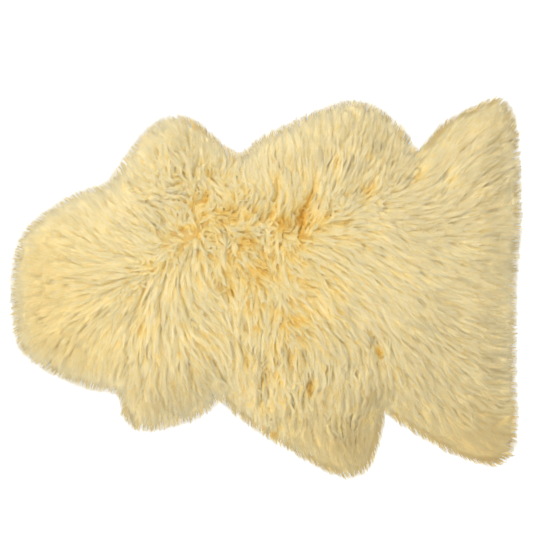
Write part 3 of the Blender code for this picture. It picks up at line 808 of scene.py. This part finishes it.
def curl_guides(pelt, sizes, rng, layers):
    """Short curls where the combed locks leave the wool thin, and among the ruffled ones."""
    x, y = lattice(sizes.curl_spacing, rng, pelt, CURL_MARGIN)
    thin = layers.at(x, y) < sizes.thin_layers
    kept = thin | (rng.uniform(0, 1, len(x)) < CURL_CHANCE * np.clip(pelt.ruffle.at(x, y), 0, 1))
    x, y = x[kept], y[kept]
    count = len(x)
    reach = rng.uniform(*CURL_REACH, count) * MM
    veer, bend = (rng.normal(0, spread, count)[:, None] for spread in (CURL_VEER, CURL_BEND))
    crimp = rng.uniform(*CURL_CRIMP, count)[:, None]
    wave = np.cos(rng.uniform(0, 2 * math.pi, count)[:, None] + LOCK_RUN[:-1] * CURL_WAVE)
    turns = veer + bend * (LOCK_RUN[:-1] - 0.4) + crimp * wave
    back = toward(pelt.lie(x, y), reach * CURL_BACK)
    paths = follow(pelt, x - back[:, 0], y - back[:, 1], turns, reach, LOCK_RUN)
    half = rng.uniform(*CURL_GIRTH, count) * sizes.lock_width / 2
    lift, own = rng.uniform(*CURL_LIFT, count) * MM, rng.normal(*CURL_TONE, count)
    return paths, reach, lift, half, own, np.ones(count)


def laid(pelt, flat, depth, level):
    """Paths laid on the wool's surface, sunk by depth and lowered towards their tips to their level."""
    tops = pelt.top.at(flat[..., 0], flat[..., 1])
    thin = np.clip(tops / FULL_WOOL, 0.25, 1)
    droop = 1 - (1 - level[:, None]) * np.linspace(0, 1, flat.shape[1]) ** 1.5
    z = np.maximum(tops * droop - depth * thin, LEAST_PATH)
    return np.concatenate([flat, z[..., None]], axis=2)


def tint(pelt, x, y):
    """The middle tone of the wool round each spot, which nears khaki at the rim as painted shade."""
    inner = pelt.tint.at(x, y)
    rim_shade = np.clip(1 - pelt.rim.at(x, y) / RIM_SHADE_WIDTH, 0, 1)
    return inner + RIM_SHADE_PULL * np.clip(RIM_SHADE_TINT - inner, 0, 0.3) * rim_shade


def toned(pelt, paths, shift):
    """Where the wool stands on the finish's map along paths, from amber over gold and cream to khaki.

    The tones are lighter on the ridges and darker in the furrows as painted light and shade, blotched and shifted,
    and kept near the middle one, except that amber shows where the wool parts, the roots' own colour deepened as
    painted shade.
    """
    x, y = paths[..., 0], paths[..., 1]
    middle, parting = tint(pelt, x, y), pelt.parting.at(x, y)
    blotch = 0.6 * noise(x, y, *BLOTCHES) + 0.4 * noise(x, y, *SPECKS)
    total = middle + pelt.shag.at(x, y) * (pelt.combed.at(x, y) * RIDGE_LIGHT_AND_SHADE + blotch * BLOTCH_TONE)
    # Partings turn to amber: the roots' own colour, deepened as painted shade.
    total = total - (total + 0.1) * np.clip(1.1 * parting, 0, 1)
    least = np.clip(middle - DARKER - 0.8 * parting, AMBER, DARKEST)
    return np.clip(total + shift, least, np.clip(middle + LIGHTER, *LIGHTEST))


def spun(pelt, sizes, rng, guides, strands):
    """Locks in two groups: a broad core for each, and the strands that lie on it."""
    paths, reach, lift, half, own, level = guides
    count = len(paths)
    core = laid(pelt, paths, LOCK_DEPTH + sizes.core_depth - lift[:, None], level)
    core_width = 2 * half[:, None] * sizes.core_share * CORE_WIDTH
    # Lifted locks are lighter and sunk ones darker, and the core darker, as painted shade.
    own = own + LIFT_PAINTED_SHADE * lift / MM
    shaded_core_tones = toned(pelt, paths, own[:, None] - CORE_PAINTED_SHADE * pelt.shag.at(paths[..., 0], paths[..., 1]))
    cores = core, core_width, rng.normal(0, CORE_ROLL, count), shaded_core_tones, CORE_BAND
    paths = np.repeat(paths, strands, axis=0)
    reach, lift, half, own, level = (np.repeat(v, strands) for v in (reach, lift, half, own, level))
    total = count * strands
    offset = np.sqrt(rng.uniform(0, 1, total))
    turned = rng.uniform(0, 2 * math.pi, total)[:, None] + rng.normal(*TWIST, total)[:, None] * LOCK_RUN
    spread = LOCK_SPREAD * half[:, None] * offset[:, None]
    side = np.cos(turned) * spread
    along = unit(np.gradient(paths, axis=1))
    stagger = rng.uniform(*STAGGER, total) * reach
    flat = paths + np.stack([-along[..., 1], along[..., 0]], axis=2) * side[..., None]
    flat = flat + along * (stagger[:, None] * (0.3 + 0.7 * LOCK_RUN))[..., None]
    shag = pelt.shag.at(flat[..., 0], flat[..., 1])
    inward = (side / half[:, None]) ** 2
    mound = sizes.mound * (0.6 - inward) + np.sin(turned) * spread * 0.2
    mound = mound * (0.4 + 0.6 * shag)
    made = laid(pelt, flat, LOCK_DEPTH - lift[:, None] - mound, level)
    widths = sizes.strand_width * rng.uniform(*STRAND_GIRTH, total)[:, None] * FIBRE_WIDTH
    own = own + rng.normal(0, OWN_TONES, total)
    # Strands on a lock's flanks, which lie lower, are darker as painted shade, those in its middle lighter.
    tones = toned(pelt, flat, own[:, None] + SIDE_PAINTED_SHADE * shag * (0.5 - inward))
    return cores, (made, widths, rng.normal(0, STRAND_ROLL, total), tones, STRAND_BAND)


def fringe(pelt, sizes, rng):
    """The fine wisps all round the rim, most of them ending by the outline and the rest past it."""
    count = int(pelt.run[-1] / sizes.fringe_spacing)
    at = (np.arange(count) + rng.uniform(-0.5, 0.5, count)) / count * pelt.run[-1]
    wisp = np.floor(at / sizes.wisp_pitch).astype(int)
    spot, middle = pelt.rim_spot(at), pelt.rim_spot((wisp + 0.5) * sizes.wisp_pitch)
    spot = spot + (middle - spot) * rng.uniform(0, WISP_GATHER, count)[:, None]
    shared = rng.uniform(-1, 1, wisp.max() + 2)
    past = np.clip(rng.normal(WISPS_PAST, WISPS_VARY, count) + WISP_SHARED * shared[wisp], *WISPS_LIMIT) * MM
    lean = WISP_LEAN * rng.uniform(-1, 1, wisp.max() + 2)[wisp]
    spot = spot + toward(pelt.outward(*spot.T) + lean, past)
    reach = rng.uniform(*WISP_REACH, count) * MM
    turns = (rng.normal(0, WISP_VEER, count) + lean)[:, None] * FINE_RUN[1:] ** 2
    flat = trace_back(pelt, spot, reach, turns, FINE_RUN)
    level = rng.uniform(*WISP_LEVEL, count)[:, None]
    z = pelt.height.at(flat[..., 0], flat[..., 1]) * (1 - (1 - level) * FINE_RUN**0.7) - WISP_DEPTH
    tip, root = WISP_FLOOR
    z = np.maximum(z, (tip + rng.uniform(0, root, count)[:, None] * (1 - FINE_RUN)) * MM)
    paths = np.concatenate([flat, z[..., None]], axis=2)
    slim = np.clip(WISP_SLIM[1] - WISP_TAPER * past / MM, *WISP_SLIM)
    widths = sizes.fringe_width * (slim * rng.uniform(*FINE_GIRTH, count))[:, None] * FINE_WIDTH
    tones = toned(pelt, flat, rng.normal(*WISP_SHADE, count)[:, None])
    tones = tones + (WISP_TONE - tones) * np.clip(past / WISP_FADE + 0.6, 0, 1)[:, None] * FINE_RUN**2
    return paths, widths, rng.normal(0, FINE_ROLL, count), tones, STRAND_BAND


def strays(pelt, sizes, rng):
    """Single fibres that lie loose on the locks."""
    x = rng.uniform(-RUG_LENGTH / 2, RUG_LENGTH / 2, sizes.strays * 2)
    y = rng.uniform(-RUG_WIDTH / 2, RUG_WIDTH / 2, sizes.strays * 2)
    kept = pelt.rim.at(x, y) > STRAY_MARGIN
    x, y = x[kept][:sizes.strays], y[kept][:sizes.strays]
    count = len(x)
    reach = rng.uniform(*STRAY_REACH, count) * MM
    veer, bend = (rng.normal(0, spread, count)[:, None] for spread in (STRAY_VEER, STRAY_BEND))
    turns = veer + bend * FINE_RUN[:-1]
    flat = follow(pelt, x, y, turns, reach, FINE_RUN)
    arch = np.sin(FINE_RUN * math.pi * 0.8) * rng.uniform(*STRAY_ARCH, count)[:, None] * MM
    z = pelt.height.at(flat[..., 0], flat[..., 1]) + arch + STRAY_HEIGHT
    paths = np.concatenate([flat, z[..., None]], axis=2)
    widths = sizes.fringe_width * STRAY_GIRTH * np.ones(count)[:, None] * FINE_WIDTH
    tones = toned(pelt, flat, rng.normal(*STRAY_SHADE, count)[:, None])
    return paths, widths, rng.normal(0, FINE_ROLL, count), tones, STRAND_BAND


# The add-on.

pelts = []  # the maps, made once by whichever operator runs first


def shared_pelt(sizes):
    """The maps that all the wool shares."""
    if not pelts:
        pelts.append(Pelt(sizes))
    return pelts[0]


def wool_basket(context):
    """What each piece of wool is made from: the sizes, the finish and the maps."""
    sizes, colours = context.scene.rug_sizes, context.scene.rug_colours
    finish = bpy.data.materials.get("golden lambswool") or golden_wool(colours)
    return sizes, finish, shared_pelt(sizes)


def grown_on(piece):
    """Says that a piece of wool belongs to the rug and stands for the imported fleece."""
    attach(piece, "root")
    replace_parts(piece, "fleece")


def sized(name, description, default, low, high):
    """A length to choose, given in mm."""
    return FloatProperty(
        name=name, description=description, default=default * MM, min=low * MM, max=high * MM, unit="LENGTH"
    )


def tinted(name, description, value):
    """A colour to choose, given as an sRGB hex value."""
    return FloatVectorProperty(
        name=name, description=description, default=linear(value)[:3], size=3, min=0, max=1, subtype="COLOR"
    )


class FleeceSizes(bpy.types.PropertyGroup):
    """Sizes of the wool."""

    lock_spacing: sized("Lock spacing", "Distance between the roots of two locks", 9.1, 5, 40)
    lock_length: sized("Lock length", "How far a lock reaches over its neighbours", 56, 10, 120)
    lock_width: sized("Lock width", "Width of a lock at its fullest", 9.6, 3, 40)
    strands: IntProperty(name="Strands", description="Fibre bundles in each lock", default=4, min=2, max=30)
    strand_width: sized("Strand width", "Width of one bundle of fibres", 2.8, 0.5, 8)
    core_depth: sized("Core depth", "How far a lock's broad core lies under its strands", 1.2, 0, 8)
    core_share: FloatProperty(
        name="Core share", description="Width of a lock's core as a share of the lock", default=0.8, min=0.2, max=2
    )
    mound: sized("Mound", "How far a lock's middle stands over its sides", 1.4, 0, 8)
    wave: FloatProperty(
        name="Wave", description="How far a lock swings from side to side, as an angle",
        default=0.22, min=0, max=1.5, subtype="ANGLE",
    )
    waves: FloatProperty(name="Waves", description="Waves along one lock", default=1.35, min=0, max=6)
    wander: FloatProperty(
        name="Wander", description="How far neighbouring locks stray from the lie of the wool",
        default=0.12, min=0, max=1.5, subtype="ANGLE",
    )
    relief: sized("Relief", "How far a ridge of combed wool stands over the middle level", 0.9, 0, 10)
    open_parting: FloatProperty(
        name="Open parting", description="Depth share from which locks no longer cross a parting",
        default=0.68, min=0.2, max=2.0,
    )
    parting_depth: sized("Parting depth", "How far the wool sinks where it parts", 5, 0, 30)
    rim_spacing: sized("Rim spacing", "Distance along the rim from one lock to the next in a row", 6.8, 3, 40)
    rim_strands: IntProperty(
        name="Rim strands", description="Fibre bundles in a rim lock", default=3, min=2, max=30
    )
    curl_spacing: sized("Curl spacing", "Distance between two curls where the wool is thin", 8.5, 4, 40)
    thin_layers: FloatProperty(
        name="Thin layers", description="Layers of locks below which curls fill in", default=2.2, min=0, max=10
    )
    fringe_spacing: sized("Fringe spacing", "Distance along the rim from one fine fibre to the next", 0.56, 0.2, 10)
    fringe_width: sized("Fringe width", "Width of a fibre in the rim's wisps", 1.0, 0.2, 5)
    wisp_pitch: sized("Wisp pitch", "Distance along the rim from one wisp to the next", 6.5, 2, 40)
    strays: IntProperty(name="Strays", description="Loose fibres on the wool", default=350, min=0, max=8000)
    underwool_depth: sized("Underwool depth", "How far the underwool lies under the wool's surface", 1.8, 1, 30)


class FleeceColours(bpy.types.PropertyGroup):
    """Colours of the wool and the skin."""

    depth: tinted("Depth", "Colour at the wool's roots", 0xF0BF62)
    tip: tinted("Tip", "Colour at the wool's tips", 0xF5E7BE)
    hide: tinted("Hide", "Colour of the tanned skin", 0xD2A365)


class StageSizes(bpy.types.PropertyGroup):
    """The floor, the light and the camera."""

    view_width: FloatProperty(
        name="View width", description="Width of the floor that the camera sees",
        default=1.023, min=0.2, max=5, unit="LENGTH",
    )
    focal_length: FloatProperty(
        name="Focal length", description="Focal length of the camera's lens in millimetres",
        default=85, min=20, max=300,
    )
    key_power: FloatProperty(
        name="Key light", description="Power of the large soft light in watts", default=79, min=0, max=1000
    )


class RUG_OT_finish_hide(bpy.types.Operator):
    """Finish the tanned skin that the wool grows from"""

    bl_idname = "rug.finish_hide"
    bl_label = "Hide"

    def execute(self, context):
        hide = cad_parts["hide"]
        hide.data.materials.clear()
        hide.data.materials.append(tanned_hide(context.scene.rug_colours))
        return {"FINISHED"}


class RUG_OT_felt_underwool(bpy.types.Operator):
    """Model the dense underwool that the locks rise from"""

    bl_idname = "rug.felt_underwool"
    bl_label = "Underwool"

    def execute(self, context):
        sizes = context.scene.rug_sizes
        pelt = shared_pelt(sizes)
        deselect()
        columns, rows = round(RUG_LENGTH / FELT_STEP), round(RUG_WIDTH / FELT_STEP)
        bpy.ops.mesh.primitive_grid_add(x_subdivisions=columns, y_subdivisions=rows, size=1)
        felt = context.object
        felt.name = felt.data.name = "underwool"
        felt.scale = (RUG_LENGTH, RUG_WIDTH, 1)
        bpy.ops.object.transform_apply(scale=True)
        x, y, _ = self.spots(felt)
        bpy.ops.object.mode_set(mode="EDIT")
        bpy.ops.mesh.select_mode(type="VERT")
        bpy.ops.mesh.select_all(action="DESELECT")
        bpy.ops.object.mode_set(mode="OBJECT")
        felt.data.vertices.foreach_set("select", pelt.rim.at(x, y) < FELT_INSET)
        bpy.ops.object.mode_set(mode="EDIT")
        bpy.ops.mesh.delete(type="VERT")
        bpy.ops.mesh.select_all(action="SELECT")
        bpy.ops.mesh.extrude_region_move(TRANSFORM_OT_translate={"value": (0, 0, -FELT_EXTRUDE)})
        bpy.ops.object.mode_set(mode="OBJECT")
        x, y, z = self.spots(felt)
        upper, rim, out = z > -FELT_EXTRUDE / 2, pelt.rim.at(x, y), pelt.outward(x, y)
        pull = np.where(rim < FELT_INSET + FELT_STEP, rim - FELT_INSET, 0)
        x, y = x + np.cos(out) * pull, y + np.sin(out) * pull
        tops = pelt.top.at(x, y) * np.clip(0.05 + rim / FELT_RISE, 0, 1) - sizes.underwool_depth
        tops = tops + LUMP_HEIGHT * noise(x, y, *FELT_LUMPS) + SWELL_HEIGHT * noise(x, y, *FELT_SWELLS)
        floor = HIDE_HIGH.z + FELT_LIFT
        spots = np.column_stack([x, y, np.where(upper, np.maximum(tops, floor + FELT_LEAST), floor)])
        felt.data.vertices.foreach_set("co", spots.ravel())
        felt.data.update()
        # Khaki near the rim is painted shade, elsewhere it follows the wool's tint; amber in the partings is
        # painted shade.
        khaki = np.maximum(1.2 - rim / FELT_EDGE, 3 * pelt.tint.at(x, y) - 1)
        for name, values in (("edge", khaki), ("parting_shade", pelt.parting.at(x, y) * 1.2)):
            made = felt.data.attributes.new(name, "FLOAT", "POINT")
            made.data.foreach_set("value", np.clip(values, 0, 1))
        bpy.ops.object.mode_set(mode="EDIT")
        bpy.ops.mesh.select_all(action="SELECT")
        bpy.ops.mesh.normals_make_consistent(inside=False)
        bpy.ops.object.mode_set(mode="OBJECT")
        bpy.ops.object.shade_smooth()
        felt.data.materials.append(felted_underwool(context.scene.rug_colours))
        grown_on(felt)
        return {"FINISHED"}

    @staticmethod
    def spots(piece):
        """The x, y and z of the piece's points."""
        spots = np.empty(3 * len(piece.data.vertices))
        piece.data.vertices.foreach_get("co", spots)
        return spots.reshape(-1, 3).T


class RUG_OT_comb_locks(bpy.types.Operator):
    """Comb the wavy locks over the pelt, one piece for each stretch from neck to rump, and curl the gaps"""

    bl_idname = "rug.comb_locks"
    bl_label = "Locks"

    def execute(self, context):
        sizes, finish, pelt = wool_basket(context)
        rng = np.random.default_rng(LOCK_SEED)
        guides = body_guides(pelt, sizes, rng)
        groups = spun(pelt, sizes, rng, guides, sizes.strands)
        names = ("neck_locks", "shoulder_locks", "back_locks", "loin_locks", "rump_locks")
        orders = [np.argsort(group[0][:, 0, 0], kind="stable") for group in groups]
        parts = zip(*(np.array_split(order, len(names)) for order in orders))
        for name, picked in zip(names, parts):
            stretch = [[rows[part] for rows in group[:-1]] + [group[-1]] for group, part in zip(groups, picked)]
            grown_on(strand_mesh(name, stretch, finish, pelt))
        curls = curl_guides(pelt, sizes, rng, cover(guides))
        grown_on(strand_mesh("curls", spun(pelt, sizes, rng, curls, CURL_STRANDS), finish, pelt))
        return {"FINISHED"}


class RUG_OT_drape_rim(bpy.types.Operator):
    """Drape the locks that make the rim over the edge of the skin"""

    bl_idname = "rug.drape_rim"
    bl_label = "Rim locks"

    def execute(self, context):
        sizes, finish, pelt = wool_basket(context)
        rng = np.random.default_rng(RIM_SEED)
        groups = spun(pelt, sizes, rng, rim_guides(pelt, sizes, rng), sizes.rim_strands)
        grown_on(strand_mesh("rim_locks", groups, finish, pelt))
        return {"FINISHED"}


class RUG_OT_fringe_rim(bpy.types.Operator):
    """Grow the fine wisps round the rim"""

    bl_idname = "rug.fringe_rim"
    bl_label = "Rim wisps"

    def execute(self, context):
        sizes, finish, pelt = wool_basket(context)
        wisps = fringe(pelt, sizes, np.random.default_rng(WISP_SEED))
        grown_on(strand_mesh("rim_wisps", [wisps], finish, pelt))
        return {"FINISHED"}


class RUG_OT_scatter_strays(bpy.types.Operator):
    """Scatter the loose fibres on the locks"""

    bl_idname = "rug.scatter_strays"
    bl_label = "Stray fibres"

    def execute(self, context):
        sizes, finish, pelt = wool_basket(context)
        loose = strays(pelt, sizes, np.random.default_rng(STRAY_SEED))
        grown_on(strand_mesh("stray_fibres", [loose], finish, pelt))
        return {"FINISHED"}


class RUG_OT_set_stage(bpy.types.Operator):
    """Lay the pale floor, hang the soft studio light and place the camera overhead"""

    bl_idname = "rug.set_stage"
    bl_label = "Stage"

    def execute(self, context):
        stage = context.scene.rug_stage
        deselect()
        bpy.ops.mesh.primitive_plane_add(size=FLOOR_SIZE, location=(0, 0, -FLOOR_DROP))
        floor = context.object
        floor.name = floor.data.name = "studio_floor"
        finish = new_material(
            "backlit white floor", Base_Color=linear(0xFFFFFF), Roughness=0.9,
            Emission_Color=linear(0xFFFFFF), Emission_Strength=FLOOR_GLOW,
        )[0]
        floor.data.materials.append(finish)
        world = bpy.data.worlds.new("studio")
        world.use_nodes = True
        sky = world.node_tree.nodes["Background"].inputs
        sky["Color"].default_value = linear(0xFFFFFF)
        sky["Strength"].default_value = SKY_STRENGTH
        context.scene.world = world
        self.light(context, "key", KEY_PLACE, stage.key_power)
        self.light(context, "fill", FILL_PLACE, stage.key_power * FILL_SHARE)
        camera = bpy.data.cameras.new("overhead")
        camera.lens = stage.focal_length
        eye = bpy.data.objects.new("overhead", camera)
        context.scene.collection.objects.link(eye)
        eye.location = (*VIEW_MIDDLE, stage.view_width * stage.focal_length / camera.sensor_width)
        context.scene.camera = eye
        context.scene.view_settings.view_transform = "Standard"
        return {"FINISHED"}

    @staticmethod
    def light(context, name, place, power):
        """A square soft light that faces the rug."""
        lamp = bpy.data.lights.new(name, "AREA")
        lamp.size = LAMP_SIZE
        lamp.energy = power
        made = bpy.data.objects.new(name, lamp)
        context.scene.collection.objects.link(made)
        made.location = place
        made.rotation_euler = Vector(place).to_track_quat("Z", "Y").to_euler()


class RUG_PT_pelt(bpy.types.Panel):
    """The sheepskin's pieces, sizes and colours"""

    bl_idname = "RUG_PT_pelt"
    bl_label = "Sheepskin"
    bl_space_type = "VIEW_3D"
    bl_region_type = "UI"
    bl_category = "Sheepskin"

    def draw(self, context):
        for operator in OPERATORS:
            self.layout.operator(operator.bl_idname)
        for group in (context.scene.rug_sizes, context.scene.rug_colours, context.scene.rug_stage):
            box = self.layout.box()
            for name in group.bl_rna.properties.keys():
                if name not in ("rna_type", "name"):
                    box.prop(group, name)


OPERATORS = (
    RUG_OT_finish_hide,
    RUG_OT_felt_underwool,
    RUG_OT_comb_locks,
    RUG_OT_drape_rim,
    RUG_OT_fringe_rim,
    RUG_OT_scatter_strays,
    RUG_OT_set_stage,
)
GROUPS = (FleeceSizes, FleeceColours, StageSizes)


def register():
    for kind in (*GROUPS, *OPERATORS, RUG_PT_pelt):
        bpy.utils.register_class(kind)
    bpy.types.Scene.rug_sizes = PointerProperty(type=FleeceSizes)
    bpy.types.Scene.rug_colours = PointerProperty(type=FleeceColours)
    bpy.types.Scene.rug_stage = PointerProperty(type=StageSizes)


def unregister():
    for name in ("rug_stage", "rug_colours", "rug_sizes"):
        delattr(bpy.types.Scene, name)
    for kind in (RUG_PT_pelt, *reversed(OPERATORS), *reversed(GROUPS)):
        bpy.utils.unregister_class(kind)


def main():
    register()
    bpy.ops.rug.finish_hide()
    bpy.ops.rug.felt_underwool()
    bpy.ops.rug.comb_locks()
    bpy.ops.rug.drape_rim()
    bpy.ops.rug.fringe_rim()
    bpy.ops.rug.scatter_strays()
    bpy.ops.rug.set_stage()


if __name__ == "__main__":
    main()
